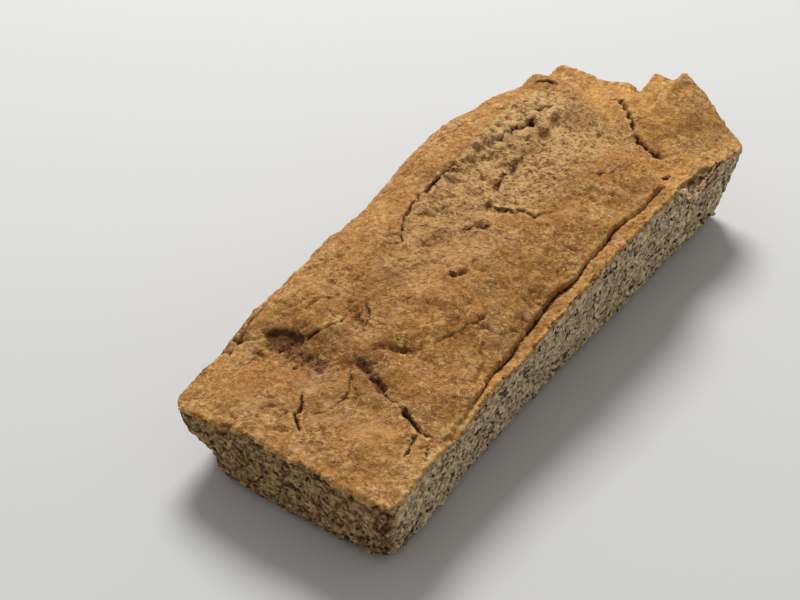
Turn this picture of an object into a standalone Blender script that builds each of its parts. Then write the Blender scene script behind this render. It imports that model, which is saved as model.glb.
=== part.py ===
# Almond flour bread: one whole loaf, baked in a long tin and lying on its flat underside.
# Metres, +Z up. The origin is at the middle of the underside, +Y runs along the loaf
# to the end whose crust lifts to a peak, and +X points to the side with the ledge.

import math

import bmesh
import bpy
from mathutils import Vector, noise

MM = 0.001

# The loaf's outline seen from above, at the rim of its walls
HALF_LENGTH = 152.5 * MM
HALF_WIDTH = 60.0 * MM
SIDE_BOW = 4.0 * MM            # the ledge side runs in by this towards the middle
SIDE_BOW_END = -70.0 * MM
FAR_NARROWING = 2.0 * MM       # the far end is this much narrower on the left
CORNER_RADIUS = 9.0 * MM

# Walls
FOOT_RADIUS = 9.0 * MM         # rounding between the walls and the underside
WALL_LEAN = 4.0 * MM           # the tin's taper over the height of a wall
FAR_LEAN = 5.0 * MM            # the far wall leans out by this much more
CORNER_LOSS = 8.0 * MM         # crumb lost low down at the near left corner
CORNER_LOSS_REACH = 16.0 * MM
CORNER_LOSS_TOP = 33.0 * MM
WALL_ROUGHNESS = 0.7 * MM
SHOULDER_RADIUS = 6.0 * MM     # rounding between the walls and the top crust
DOME_SHOULDER_RADIUS = 14.0 * MM
LEFT_BULGE = 3.0 * MM          # the dome's left shoulder stands out over the wall
LEFT_BULGE_REACH = 22.0 * MM

# Low crust plates at both ends
NEAR_PLATE_HEIGHT = 44.0 * MM
NEAR_PLATE_RISE = 3.5 * MM
NEAR_CORNER_DROP = 6.0 * MM
FAR_PLATE_HEIGHT = 46.0 * MM
FAR_PLATE_START = 96.0 * MM
PEAK_X = 19.0 * MM
PEAK_RISE = 25.0 * MM          # the far crust's peak stands over its plate by this
PEAK_STEP = 0.72               # share of the rise just left of the peak
PEAK_REST = 0.28               # share of the rise past the notch
NOTCH_DEPTH = 4.0 * MM

# The dome between the plates
DOME_NEAR_EDGE = -112.0 * MM
DOME_NEAR_SKEW = -0.06         # the edge's slant, in metres along for each metre across
DOME_FAR_EDGE = 118.0 * MM
DOME_FAR_SKEW = -0.6
CREST_HEIGHT = 70.0 * MM
CREST_NEAR_DROP = 12.0 * MM
CREST_FAR_DROP = 18.0 * MM
CROWN_POWER = 2.6              # higher makes the dome flatter across its middle
LEFT_NEAR_HEIGHT = 50.0 * MM
LEFT_STEP = 6.0 * MM           # the left shoulder's step beside the hollow
LEFT_RISE = 11.5 * MM
LEFT_FALL = 12.0 * MM
LEFT_END_FALL = 10.0 * MM

# The ledge and the crack that parts it from the dome
LEDGE_HEIGHT = 46.0 * MM
LEDGE_RISE = 14.0 * MM
LEDGE_PEAK = 65.0 * MM
DOME_OVER_LEDGE = 2.5 * MM
CRACK_OFFSET = 13.5 * MM       # from the ledge side's outline
CRACK_SWING = 8.0 * MM         # how much nearer the outline it starts
CRACK_DEPTH = 9.0 * MM
CRACK_HALF_WIDTH = 2.0 * MM
CRACK_NEAR_END = -92.0 * MM
CRACK_FAR_END = 98.0 * MM

# The torn band along the dome
BAND_LEFT_EDGE = -34.0 * MM
BAND_RIGHT_LIMIT = -14.0 * MM
BAND_CURVE = 9.0 * MM          # the left edge runs in by this, 60 mm from its middle
BAND_MIDDLE = 12.0 * MM
BAND_CURVE_REACH = 60.0 * MM
BAND_WIDTH = 34.0 * MM
BAND_DEPTH = 3.5 * MM
BAND_NEAR_END = -62.0 * MM
BAND_FAR_END = 118.0 * MM

# The hollow at the near end
HOLLOW_X = -36.0 * MM
HOLLOW_HALF_WIDTH = 13.0 * MM
HOLLOW_LIP = -106.0 * MM
HOLLOW_DEPTH = 7.0 * MM

# Cracks in the crust: points, depth and half width, all in mm
CRACKS = (
    (((-1, -98), (17, -106), (31, -108), (50, -114)), 3.5, 3.0),
    (((-12, -123), (-8, -132), (1, -143)), 1.6, 2.0),
    (((-24, -40), (-31, -24), (-35, 0), (-33, 22)), 3.5, 3.0),
    (((-30, 54), (-24, 78), (-26, 94)), 3.5, 3.5),
    (((-17, 124), (0, 116), (12, 108), (32, 101)), 4.0, 3.0),
    (((-16, 72), (-10, 92)), 2.5, 2.5),
    (((-1, 4), (17, 26)), 2.0, 2.5),
    (((0, -94), (26, -74)), 3.0, 4.0),
)

# Relief all over the crust
LUMP_SIZE = 30.0 * MM
LUMP_HEIGHT = 3.2 * MM
CRAG_SIZE = 9.0 * MM
CRAG_HEIGHT = 0.9 * MM
TEAR_SIZE = 7.0 * MM
TEAR_HEIGHT = 2.2 * MM
LUMP_SEED = 3.1
CRAG_SEED = 7.7
TEAR_SEED = 11.3

# How finely the loaf is divided
ROWS = 74
DOME_COLUMNS = 25
CRACK_COLUMNS = 3
LEDGE_COLUMNS = 4
ALL_COLUMNS = DOME_COLUMNS + CRACK_COLUMNS + LEDGE_COLUMNS
CRACK_COLUMNS_REACH = 3.0 * MM
WALL_LEVELS = 8
WALL_LEVEL_POWER = 1.25        # above 1 sets the levels closer near the underside

CRUST_COLOUR = (0.42, 0.235, 0.095, 1.0)
CRUST_ROUGHNESS = 0.85


def clear_scene():
    for item in list(bpy.data.objects):
        bpy.data.objects.remove(item, do_unlink=True)


def ramp(value, start, end):
    """A soft step from 0 at start to 1 at end."""
    share = min(1.0, max(0.0, (value - start) / (end - start)))
    return share * share * (3.0 - 2.0 * share)


def window(value, start, end, soft):
    """1 between start and end, fading to 0 over soft inside each."""
    return ramp(value, start, start + soft) * (1.0 - ramp(value, end - soft, end))


def mix(low, high, share):
    return low + (high - low) * share


def mound(value, middle, spread):
    """A soft bump, 1 at the middle."""
    return math.exp(-((value - middle) / spread) ** 2)


def left_outline(y):
    return -HALF_WIDTH + FAR_NARROWING * ramp(y, LEDGE_PEAK, HALF_LENGTH)


def right_outline(y):
    return HALF_WIDTH - SIDE_BOW * ramp(y, -HALF_LENGTH, SIDE_BOW_END)


def crack_line(y):
    """Where the dome meets the ledge, as x."""
    swing = CRACK_SWING * (1.0 - ramp(y, CRACK_NEAR_END + 14 * MM, CRACK_NEAR_END + 50 * MM))
    return right_outline(y) - CRACK_OFFSET + swing


def crack_share(y):
    """1 where the ledge crack is open, 0 past its ends."""
    return window(y, CRACK_NEAR_END, CRACK_FAR_END, 18 * MM)


def left_height(y):
    """Top of the left shoulder: a step beside the hollow, then a long rise and fall."""
    step = LEFT_STEP * ramp(y, HOLLOW_LIP, HOLLOW_LIP + 18 * MM)
    rise = LEFT_RISE * ramp(y, -30 * MM, 25 * MM)
    fall = LEFT_FALL * ramp(y, 50 * MM, 125 * MM)
    end_fall = LEFT_END_FALL * ramp(y, 120 * MM, HALF_LENGTH)
    return LEFT_NEAR_HEIGHT + step + rise - fall - end_fall


def ledge_height(y):
    rise = ramp(y, DOME_NEAR_EDGE, LEDGE_PEAK)
    fall = ramp(y, LEDGE_PEAK, HALF_LENGTH)
    return LEDGE_HEIGHT + LEDGE_RISE * (rise - fall)


def crest_height(y):
    rise = ramp(y, DOME_NEAR_EDGE, 0.0)
    fall = ramp(y, 45 * MM, HALF_LENGTH)
    return CREST_HEIGHT - CREST_NEAR_DROP * (1.0 - rise) - CREST_FAR_DROP * fall


def dome_surface(x, y):
    left = left_outline(y)
    across = (x - left) / (crack_line(y) - left)
    across = min(1.0, max(0.0, across))
    edge_left = left_height(y)
    edge_right = ledge_height(y) + DOME_OVER_LEDGE
    crown = crest_height(y) - 0.5 * (edge_left + edge_right)
    return mix(edge_left, edge_right, across) + crown * (1.0 - abs(2.0 * across - 1.0) ** CROWN_POWER)


def near_plate(x, y):
    """The low flat crust at the near end, lowest at its left corner."""
    corner = ramp(-x, 20 * MM, HALF_WIDTH) * (1.0 - ramp(y, -145 * MM, -120 * MM))
    rise = NEAR_PLATE_RISE * ramp(y, -HALF_LENGTH, -120 * MM)
    return NEAR_PLATE_HEIGHT + rise - NEAR_CORNER_DROP * corner


def far_plate(x, y):
    """The far crust, lifted to a peak at its edge, with a notch beside it."""
    if x > PEAK_X:
        share = (1.0 - (x - PEAK_X) / (HALF_WIDTH + 2 * MM - PEAK_X)) ** 1.5
    else:
        share = mix(PEAK_STEP, 1.0, ramp(x, PEAK_X - 8 * MM, PEAK_X))
        share = mix(PEAK_REST, share, ramp(x, PEAK_X - 24 * MM, PEAK_X - 16 * MM))
    lift = PEAK_RISE * share * ramp(y, FAR_PLATE_START, HALF_LENGTH)
    notch = mound(x, PEAK_X - 25 * MM, 5 * MM) * ramp(y, 137 * MM, HALF_LENGTH)
    return FAR_PLATE_HEIGHT + lift - NOTCH_DEPTH * notch


def dome_share(x, y):
    """How much of the dome there is at a place, and how much of the far plate."""
    near_edge = DOME_NEAR_EDGE + DOME_NEAR_SKEW * x
    far_edge = min(DOME_FAR_EDGE + DOME_FAR_SKEW * x, HALF_LENGTH + 12 * MM)
    started = ramp(y, near_edge - 8 * MM, near_edge + 24 * MM)
    ended = ramp(y, far_edge - 14 * MM, far_edge + 6 * MM)
    return started * (1.0 - ended), ended


def path_distance(place, path):
    """Distance to a line through a few points, and how far along it the nearest one is."""
    best = HALF_LENGTH
    where = 0.0
    for index, (start, end) in enumerate(zip(path, path[1:])):
        first = Vector(start) * MM
        span = Vector(end) * MM - first
        share = (place - first).dot(span) / span.length_squared
        share = min(1.0, max(0.0, share))
        gap = (place - first - span * share).length
        if gap < best:
            best = gap
            where = (index + share) / (len(path) - 1)
    return best, where


def cracks_at(place):
    """Depth of the crust's cracks, which grow shallow towards their ends."""
    depth = 0.0
    for path, deep, wide in CRACKS:
        gap, where = path_distance(place, path)
        fade = min(1.0, 0.35 + 4.0 * min(where, 1.0 - where))
        depth = max(depth, deep * MM * fade * mound(gap, 0.0, wide * MM))
    return depth


def hollow_at(x, y):
    """The hollow at the near end, deepest under its far lip."""
    across = mound(x, HOLLOW_X, HOLLOW_HALF_WIDTH)
    along = ramp(y, HOLLOW_LIP - 20 * MM, HOLLOW_LIP - 2 * MM)
    along *= 1.0 - ramp(y, HOLLOW_LIP, HOLLOW_LIP + 7 * MM)
    return HOLLOW_DEPTH * across * along


def band_share(x, y):
    """1 inside the torn band, 0 outside it."""
    left = BAND_LEFT_EDGE + BAND_CURVE * ((y - BAND_MIDDLE) / BAND_CURVE_REACH) ** 2
    left = min(left, BAND_RIGHT_LIMIT)
    across = ramp(x, left - 3 * MM, left + 3 * MM)
    across *= 1.0 - ramp(x, left + 0.6 * BAND_WIDTH, left + 1.1 * BAND_WIDTH)
    return across * window(y, BAND_NEAR_END, BAND_FAR_END, 26 * MM)


def relief(place, size, seed):
    return noise.noise(Vector((place.x / size, place.y / size, seed)))


def top_height(place):
    x, y = place
    share, far_share = dome_share(x, y)
    plate = mix(near_plate(x, y), far_plate(x, y), far_share)
    height = mix(plate, dome_surface(x, y), share)
    past_crack = ramp(x, crack_line(y) - 0.5 * MM, crack_line(y) + 1.5 * MM)
    height = mix(height, ledge_height(y), past_crack * max(crack_share(y), share))
    band = band_share(x, y)
    height += LUMP_HEIGHT * relief(place, LUMP_SIZE, LUMP_SEED)
    height += CRAG_HEIGHT * relief(place, CRAG_SIZE, CRAG_SEED)
    height += TEAR_HEIGHT * band * relief(place, TEAR_SIZE, TEAR_SEED)
    height -= BAND_DEPTH * band
    height -= CRACK_DEPTH * mound(x, crack_line(y), CRACK_HALF_WIDTH) * crack_share(y)
    return height - cracks_at(place) - hollow_at(x, y)


def shoulder_radius(place):
    """The crust rolls over widely on the dome's left side, and tightly elsewhere."""
    along = window(place.y, HOLLOW_LIP, HALF_LENGTH - 6 * MM, 35 * MM)
    share = along * ramp(-place.x, 0.0, 0.5 * HALF_WIDTH)
    return mix(SHOULDER_RADIUS, DOME_SHOULDER_RADIUS, share)


def left_bulge(place, out):
    along = window(place.y, HOLLOW_LIP + 10 * MM, HALF_LENGTH - 12 * MM, 50 * MM)
    return LEFT_BULGE * along * max(0.0, -out.x)


def round_drop(distance, radius):
    """How far a quarter round of this radius lies below its top at a distance in."""
    if distance >= radius:
        return 0.0
    return radius - math.sqrt(radius ** 2 - (radius - distance) ** 2)


def column_place(share, y):
    """x of a grid column: even over the dome, closer over the crack and the ledge."""
    column = share * ALL_COLUMNS
    before_crack = crack_line(y) - CRACK_COLUMNS_REACH
    after_crack = crack_line(y) + CRACK_COLUMNS_REACH
    if column <= DOME_COLUMNS:
        return mix(left_outline(y), before_crack, column / DOME_COLUMNS)
    column -= DOME_COLUMNS
    if column <= CRACK_COLUMNS:
        return mix(before_crack, after_crack, column / CRACK_COLUMNS)
    return mix(after_crack, right_outline(y), (column - CRACK_COLUMNS) / LEDGE_COLUMNS)


def level_place(across, along, inset, far_lean=0.0):
    """A grid point's place on the outline drawn in by inset, with round corners.

    The far end is drawn in by far_lean more. Gives the place, the outward way
    and the distance in from that outline.
    """
    full_y = along * HALF_LENGTH
    left = left_outline(full_y) + inset
    right = right_outline(full_y) - inset
    middle = 0.5 * (left + right)
    shrink = (right - left) / (right - left + 2.0 * inset)
    x = middle + (column_place(0.5 * (across + 1.0), full_y) - middle) * shrink
    half_length = HALF_LENGTH - inset - (far_lean if along > 0 else 0.0)
    y = along * half_length
    side = 1.0 if x > middle else -1.0
    end = 1.0 if y > 0 else -1.0
    edge = right if side > 0 else left
    in_x = side * (edge - x)
    in_y = half_length - end * y
    over_x = max(0.0, CORNER_RADIUS - in_x)
    over_y = max(0.0, CORNER_RADIUS - in_y)
    if over_x > 0.0 and over_y > 0.0:
        most = max(over_x, over_y)
        out = Vector((side * over_x, end * over_y)).normalized()
        centre = Vector((edge, end * half_length)) - Vector((side, end)) * CORNER_RADIUS
        return centre + out * most, out, max(0.0, CORNER_RADIUS - most)
    if in_x < in_y:
        return Vector((x, y)), Vector((side, 0.0)), max(0.0, in_x)
    return Vector((x, y)), Vector((0.0, end)), max(0.0, in_y)


def wall_inset(place, height, rim, bulge):
    """How far a wall lies inside the outline at a height."""
    foot = round_drop(height, FOOT_RADIUS)
    lean = WALL_LEAN * (1.0 - height / rim)
    corner = (place - Vector((-HALF_WIDTH, -HALF_LENGTH))).length
    lost = CORNER_LOSS * mound(corner, 0.0, CORNER_LOSS_REACH)
    lost *= 1.0 - ramp(height, FOOT_RADIUS, CORNER_LOSS_TOP)
    return foot + lean + lost - bulge * ramp(height, 0.45 * rim, rim)


def place_vertex(vert):
    """Moves a point of the divided cube to its place on the loaf."""
    across, along, up = vert.co
    place, out, distance = level_place(across, along, 0.0)
    top = top_height(place)
    radius = shoulder_radius(place)
    rim = top - radius
    bulge = left_bulge(place, out)
    if up > 0.999:
        height = top - round_drop(distance, radius)
        place += out * bulge * (1.0 - ramp(distance, 0.0, LEFT_BULGE_REACH))
    else:
        height = rim * (0.5 * (up + 1.0)) ** WALL_LEVEL_POWER
        rough = WALL_ROUGHNESS * noise.noise(Vector((place.x, place.y, height)) / CRAG_SIZE)
        rough *= ramp(height, 0.0, 0.5 * FOOT_RADIUS)
        inset = wall_inset(place, height, rim, bulge) - rough
        place = level_place(across, along, inset, FAR_LEAN * (1.0 - height / rim))[0]
    vert.co = Vector((place.x, place.y, height))


def cut_along(bm, axis, pieces):
    """Cuts every edge that runs along an axis into equal pieces."""
    edges = []
    for edge in bm.edges:
        way = (edge.verts[1].co - edge.verts[0].co).normalized()
        if abs(way[axis]) > 0.9:
            edges.append(edge)
    bmesh.ops.subdivide_edges(bm, edges=edges, cuts=pieces - 1, use_grid_fill=True)


def join_underside(bm):
    """Makes the flat underside one face."""
    flat = [face for face in bm.faces if max(vert.co.z for vert in face.verts) < 1e-7]
    bmesh.ops.dissolve_faces(bm, faces=flat, use_verts=True)


def make_loaf_mesh():
    bm = bmesh.new()
    bmesh.ops.create_cube(bm, size=2.0)
    cut_along(bm, 1, ROWS)
    cut_along(bm, 0, ALL_COLUMNS)
    cut_along(bm, 2, WALL_LEVELS)
    for vert in bm.verts:
        place_vertex(vert)
    join_underside(bm)
    bmesh.ops.recalc_face_normals(bm, faces=bm.faces)
    mesh = bpy.data.meshes.new("loaf")
    bm.to_mesh(mesh)
    bm.free()
    return mesh


def crust_material():
    material = bpy.data.materials.new("crust")
    material.use_nodes = True
    shader = material.node_tree.nodes["Principled BSDF"]
    shader.inputs["Base Color"].default_value = CRUST_COLOUR
    shader.inputs["Roughness"].default_value = CRUST_ROUGHNESS
    shader.inputs["Metallic"].default_value = 0.0
    return material


def make_loaf(collection):
    mesh = make_loaf_mesh()
    mesh.materials.append(crust_material())
    mesh.shade_smooth()
    loaf = bpy.data.objects.new("loaf", mesh)
    collection.objects.link(loaf)


def build():
    clear_scene()
    collection = bpy.data.collections.new("almond_flour_bread")
    bpy.context.scene.collection.children.link(collection)
    make_loaf(collection)


build()
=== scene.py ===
import math
import random

import bmesh
import bpy
import numpy as np
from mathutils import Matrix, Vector, kdtree, noise


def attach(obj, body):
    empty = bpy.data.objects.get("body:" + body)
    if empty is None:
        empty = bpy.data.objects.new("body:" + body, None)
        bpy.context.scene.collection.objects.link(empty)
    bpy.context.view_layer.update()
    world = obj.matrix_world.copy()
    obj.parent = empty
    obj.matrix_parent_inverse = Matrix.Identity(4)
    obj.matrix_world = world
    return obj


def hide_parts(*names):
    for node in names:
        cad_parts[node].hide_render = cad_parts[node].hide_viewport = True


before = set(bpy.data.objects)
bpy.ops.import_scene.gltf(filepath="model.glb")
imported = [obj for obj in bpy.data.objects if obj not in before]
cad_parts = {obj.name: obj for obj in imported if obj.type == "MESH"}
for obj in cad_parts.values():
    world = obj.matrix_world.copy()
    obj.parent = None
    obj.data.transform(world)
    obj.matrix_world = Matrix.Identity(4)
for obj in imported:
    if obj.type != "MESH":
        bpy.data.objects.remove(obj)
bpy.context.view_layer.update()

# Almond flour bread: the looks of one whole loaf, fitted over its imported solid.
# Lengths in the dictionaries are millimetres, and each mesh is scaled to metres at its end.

metres = 0.001

loafForm = {
    "halfLength": 152.5, "halfWidth": 60.0, "cornerRadius": 6.5,
    "sideBow": 4.0, "sideBowEnd": -70.0, "farNarrowing": 2.0,
    "footRadius": 9.0, "wallLean": 4.0, "farLean": 5.0, "rightLean": 3.2,
    "cornerLoss": 8.0, "cornerLossReach": 16.0, "cornerLossStart": 12.0, "cornerLossTop": 27.0,
    "edgeRadius": 1.4, "domeShoulderRadius": 14.0,
    "leftBulge": 2.4, "leftBulgeReach": 22.0,
    "cornerPull": 2.2, "cornerPullReach": 9.0, "rightCornerLoss": 2.0,
}

topForm = {
    "nearPlate": 44.0, "nearRise": 3.5, "nearCornerDrop": 6.5,
    "farPlate": 46.0, "farStart": 96.0, "farLeftDrop": 6.5, "farRightDrop": 7.0,
    "peakX": 19.0, "peakRise": 25.0, "peakStep": 0.72, "peakRest": 0.28, "notchDepth": 4.0,
    "domeNearEdge": -112.0, "domeNearSkew": -0.06, "domeFarEdge": 118.0, "domeFarSkew": -0.6,
    "crest": 70.0, "crestNearDrop": 12.0, "crestFarDrop": 18.0, "crownPower": 2.6,
    "leftNear": 50.0, "leftStep": 6.0, "leftRise": 11.5, "leftFall": 12.0, "leftEndFall": 10.0,
    "ledge": 46.0, "ledgeRise": 14.0, "ledgePeak": 65.0, "domeOverLedge": 1.4,
    "bandDepth": 3.5, "bandLeft": -34.0, "bandRightLimit": -14.0, "bandCurve": 9.0,
    "bandMiddle": 12.0, "bandReach": 60.0, "bandWidth": 34.0, "bandStart": -62.0, "bandEnd": 118.0,
    "bandLumps": 2.2, "unevenness": ((3.2, 30.0, 3.1), (0.9, 9.0, 7.7)),
}

ledgeCrack = {
    "offset": 8.2, "swing": 5.0, "nearEnd": -92.0, "farEnd": 98.0,
    "depth": 2.6, "halfWidth": 0.75, "overhang": 1.1, "wobble": 0.9, "innerDrop": 1.0, "roll": 7.0, "rollDrop": 1.8,
}


def ramp(value, start, end):   # a soft step from 0 at start to 1 at end
    share = np.clip((value - start) / (end - start), 0.0, 1.0)
    return share * share * (3.0 - 2.0 * share)


def window(value, start, end, soft):   # 1 between start and end, fading to 0 inside each
    return ramp(value, start, start + soft) * (1.0 - ramp(value, end - soft, end))


def mixed(low, high, share):
    return low + (high - low) * share


def mound(value, middle, spread):
    return np.exp(-((value - middle) / spread) ** 2)


def flatNoise(x, y, size, seed):   # one layer of noise across the plan
    return np.array([noise.noise(Vector((a, b, seed))) for a, b in zip(x / size, y / size)])


def solidNoise(points, size, seed):   # one layer of noise through space
    return np.array([noise.noise(Vector(p)) for p in points / size + seed])


def layered(points, layers):   # noise layers summed, each as amount, size and seed
    return sum(amount * solidNoise(points, size, seed) for amount, size, seed in layers)


def flatLayered(x, y, layers):
    return sum(amount * flatNoise(x, y, size, seed) for amount, size, seed in layers)


# The loaf's plan and heights, as in the solid

def leftOutline(y):
    return -loafForm["halfWidth"] + loafForm["farNarrowing"] * ramp(y, topForm["ledgePeak"], loafForm["halfLength"])


def rightOutline(y):
    return loafForm["halfWidth"] - loafForm["sideBow"] * ramp(y, -loafForm["halfLength"], loafForm["sideBowEnd"])


def crackLine(y):
    start = ledgeCrack["nearEnd"]
    swing = ledgeCrack["swing"] * (1.0 - ramp(y, start + 14, start + 50))
    wobble = ledgeCrack["wobble"] * (np.sin(y / 9.0) + 0.6 * np.sin(y / 4.3 + 1.0))
    return rightOutline(y) - ledgeCrack["offset"] + swing + wobble


def crackOpen(y):
    return window(y, ledgeCrack["nearEnd"], ledgeCrack["farEnd"], 18.0)


def leftHeight(y):
    step = topForm["leftStep"] * ramp(y, -108, -60)
    rise = topForm["leftRise"] * ramp(y, -16, 28)
    fall = topForm["leftFall"] * ramp(y, 50, 125)
    endFall = topForm["leftEndFall"] * ramp(y, 120, loafForm["halfLength"])
    return topForm["leftNear"] + step + rise - fall - endFall


def ledgeHeight(y):
    rise = ramp(y, topForm["domeNearEdge"], topForm["ledgePeak"])
    fall = ramp(y, topForm["ledgePeak"], loafForm["halfLength"])
    return topForm["ledge"] + topForm["ledgeRise"] * (rise - fall)


def domeHeight(x, y):
    left = leftOutline(y)
    across = np.clip((x - left) / (crackLine(y) - left), 0.0, 1.0)
    edgeLeft, edgeRight = leftHeight(y), ledgeHeight(y) + topForm["domeOverLedge"]
    crest = topForm["crest"] - topForm["crestNearDrop"] * (1.0 - ramp(y, topForm["domeNearEdge"], 0.0))
    crest = crest - topForm["crestFarDrop"] * ramp(y, 45, loafForm["halfLength"])
    crown = crest - 0.5 * (edgeLeft + edgeRight)
    bow = 1.0 - np.abs(2.0 * across - 1.0) ** topForm["crownPower"]
    return mixed(edgeLeft, edgeRight, across) + crown * bow


def nearPlateHeight(x, y):
    corner = ramp(-x, 20, loafForm["halfWidth"]) * (1.0 - ramp(y, -120, -82))
    rise = topForm["nearRise"] * ramp(y, -loafForm["halfLength"], -120)
    return topForm["nearPlate"] + rise - topForm["nearCornerDrop"] * corner


def farPlateHeight(x, y):
    peak = topForm["peakX"]
    beyond = np.clip(1.0 - (x - peak) / (loafForm["halfWidth"] + 2 - peak), 0.0, 1.0) ** 1.1
    before = mixed(topForm["peakStep"], 1.0, ramp(x, peak - 7, peak - 1))
    before = mixed(topForm["peakRest"], before, ramp(x, peak - 22, peak - 17))
    calm = 0.85 * mound(x, peak + 1, 33)   # the plate is smooth inside its torn edge
    share = mixed(calm, np.where(x > peak, beyond, before), ramp(y, 134, 150))
    lift = topForm["peakRise"] * share * ramp(y, topForm["farStart"], loafForm["halfLength"])
    notch = mound(x, peak - 25, 5) * ramp(y, 137, loafForm["halfLength"])
    return topForm["farPlate"] + lift - topForm["notchDepth"] * notch


def domeShare(x, y):
    nearEdge = topForm["domeNearEdge"] + topForm["domeNearSkew"] * x
    farEdge = np.minimum(topForm["domeFarEdge"] + topForm["domeFarSkew"] * x, loafForm["halfLength"] + 12)
    started = ramp(y, nearEdge - 8, nearEdge + 24)
    ended = ramp(y, farEdge - 14, farEdge + 6)
    return started * (1.0 - ended), ended


def bandShare(x, y):
    left = topForm["bandLeft"] + topForm["bandCurve"] * ((y - topForm["bandMiddle"]) / topForm["bandReach"]) ** 2
    left = np.minimum(left, topForm["bandRightLimit"])
    across = ramp(x, left - 6, left + 7)
    across = across * (1.0 - ramp(x, left + 0.6 * topForm["bandWidth"], left + 1.1 * topForm["bandWidth"]))
    return across * window(y, topForm["bandStart"], topForm["bandEnd"], 26)


# Cracks: how deep, half how wide and how dark the painted shade inside is, then the line
def crack(depth, half, darkShade, line, jag=1.0, vary=1.0, crumbly=0.0, isHole=False):
    return {"depth": depth, "half": half, "darkShade": darkShade, "line": line, "jag": jag, "vary": vary, "crumbly": crumbly,
            "isHole": isHole}


cracks = {
    "trench": crack(2.2, 1.8, 0.3, ((1, -98), (4.7, -97.7), (8.6, -97.9), (12.8, -99.8), (17, -101.8), (22, -104.3)),
                    jag=1.3, crumbly=1.0),
    "plateCrack": crack(2.6, 0.55, 1.0, ((21, -104), (26, -105.5), (30.3, -105.6), (34, -106.4), (38.5, -108.2),
                        (42.4, -110), (45.6, -111), (49, -111), (53, -109)), jag=1.0),
    "plateHole": crack(3.5, 1.4, 1.0, ((34, -106.5), (36.5, -107.5)), vary=0.0, isHole=True),
    "plateRidge": crack(0.9, 0.4, 0.6, ((0, -130), (6, -119), (6, -108), (1, -99))),
    "branch": crack(1.4, 0.42, 0.9, ((45, -114), (46, -120), (48, -126))),
    "cornerBranch": crack(1.2, 0.42, 0.6, ((54, -115), (55, -120), (56, -124))),
    "nearCrack": crack(2.6, 0.55, 1.0, ((-9.5, -121.5), (-6, -126), (-4.8, -129), (-5, -132), (-2, -134.5),
                       (1.2, -138)), jag=0.5),
    "caveFloor": crack(1.5, 2.4, 0.1, ((-34, -103.5), (-24, -104.5), (-14, -105.5), (-8, -106)), crumbly=1.0),
    "cavePitOne": crack(1.8, 0.9, 0.8, ((-19.5, -108.3), (-18.5, -108.7)), isHole=True),
    "cavePitTwo": crack(1.6, 0.8, 0.7, ((-22.5, -110), (-21.5, -110.6)), isHole=True),
    "cavePitThree": crack(1.6, 0.8, 0.7, ((-13.5, -107.5), (-12.5, -107.8)), isHole=True),
    "domeLine": crack(0.9, 0.45, 0.7, ((-14, -69), (-10, -72), (-7, -76.5), (-9, -81))),
    "leftLine": crack(0.9, 0.45, 0.6, ((-54, -124), (-56, -112), (-56, -100), (-54, -88), (-50, -78))),
    "rightLine": crack(0.8, 0.45, 0.5, ((26, -70), (28, -60), (33, -50), (34, -42))),
    "farLine": crack(0.8, 0.45, 0.5, ((20, 60), (27, 66), (30, 75), (28, 84))),
    "leftFarLine": crack(0.8, 0.45, 0.5, ((-48, 34), (-47, 46), (-49, 58))),
    "caveEdge": crack(1.2, 0.5, 0.9, ((-26, -98.5), (-22.5, -94), (-18, -89.5), (-16, -86), (-17, -80)), jag=0.5),
    "foldSoft": crack(1.5, 1.5, 0.35, ((4, -92), (8.3, -86), (13, -81), (20, -77))),
    "creaseNearOne": crack(1.2, 1.3, 0.25, ((-22, -72), (-12, -78), (-2, -82))),
    "creaseNearTwo": crack(1.0, 1.1, 0.2, ((-34, -90), (-31, -80), (-24, -68))),
    "creaseSide": crack(0.9, 1.6, 0.1, ((24, -66), (26, -54), (24, -40))),
    "rimCrease": crack(1.0, 0.7, 0.3, ((-46, -125), (-44, -117), (-44, -110))),
    "slitLow": crack(2.4, 0.42, 0.6, ((-30, -37), (-26, -32), (-25, -27), (-32, -16), (-34, -10), (-35, -1),
                     (-36, 3))),
    "slitMiddle": crack(2.6, 0.8, 1.0, ((-34, 4), (-34, 10), (-34, 18))),
    "slitHigh": crack(2.0, 0.4, 0.55, ((-34, 16), (-33, 23), (-34, 31))),
    "holeTail": crack(3.0, 0.6, 0.9, ((-29, 57), (-28, 62), (-27, 68)), vary=0.5),
    "holeOne": crack(5.0, 1.9, 1.0, ((-26.5, 69), (-25, 75), (-25, 80)), vary=0.0, jag=0.5, isHole=True),
    "holeTwo": crack(4.5, 1.4, 1.0, ((-31, 93), (-29, 98), (-27, 102)), vary=0.0, jag=0.5, isHole=True),
    "farCrack": crack(2.6, 0.7, 0.8, ((-15, 135), (-7, 134), (0, 128), (6, 123), (10, 118))),
    "farTrench": crack(2.8, 1.0, 1.0, ((11, 117), (17, 115), (21, 113)), vary=0.6),
    "farTrenchEnd": crack(2.4, 0.8, 1.0, ((21, 113), (26, 112), (30, 112))),
    "dentHole": crack(3.0, 1.2, 0.9, ((38, 103), (39, 105)), isHole=True),
    "crease": crack(1.8, 0.8, 0.6, ((8, -40), (12, -37), (14, -32))),
    "bandCrease": crack(2.2, 1.3, 0.45, ((-11, 24), (-13, 40), (-12, 58))),
    "bubbleOne": crack(1.6, 0.7, 0.8, ((13, 93), (13.8, 93.8)), isHole=True),
    "bubbleTwo": crack(1.2, 0.6, 0.5, ((0.5, 101), (1.2, 101.5)), isHole=True),
    "dot": crack(2.5, 0.9, 0.9, ((-14, 37), (-13.5, 38)), isHole=True),
}
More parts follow.
